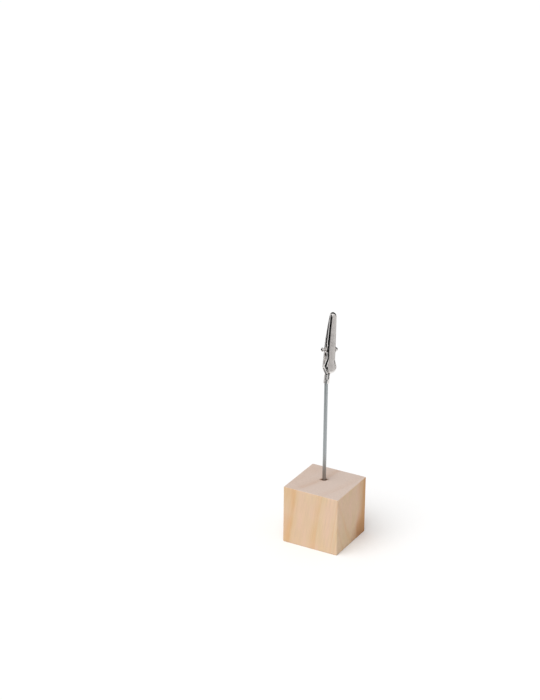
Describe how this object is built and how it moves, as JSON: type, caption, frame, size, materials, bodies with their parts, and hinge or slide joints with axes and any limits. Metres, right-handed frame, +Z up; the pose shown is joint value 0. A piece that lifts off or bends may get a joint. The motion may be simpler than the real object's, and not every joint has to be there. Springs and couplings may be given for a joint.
{
  "type": "clip holder",
  "caption": "Memo holder: a small wooden block with an upright wire stem and a sprung metal clip that grips a note, card or photo.",
  "frame": {"origin": "middle of the block's underside", "axes": "+Z up along the stem, -Y out of the block's front face, +X to the block's right"},
  "size_m": [0.03, 0.03, 0.1178],
  "materials": {
    "pine": "bare softwood, sanded, with faint stains",
    "stem_steel": "dull zinc-grey drawn wire",
    "clip_steel": "nickel-plated pressed sheet, satin on the flats and bright on the folds",
    "pin_steel": "nickel-plated, bright",
    "spring_steel": "drawn spring wire"
  },
  "bodies": {
    "stand": {"base_block": "pine", "stem_rod": "stem_steel", "fixed_jaw": "clip_steel", "hinge_pin": "pin_steel", "torsion_spring": "spring_steel"},
    "jaw": {"moving_jaw": "clip_steel"}
  },
  "joints": [
    {"name": "jaw_hinge", "type": "hinge", "parent": "stand", "child": "jaw", "pos_m": [-0.00012, 0.00266, 0.09944], "axis": [0.6921, 0.7167, -0.0854], "range_deg": [0, 16], "stiffness_Nm_per_rad": 0.07, "springref_deg": -0.4, "deforming": ["torsion_spring"]}
  ]
}
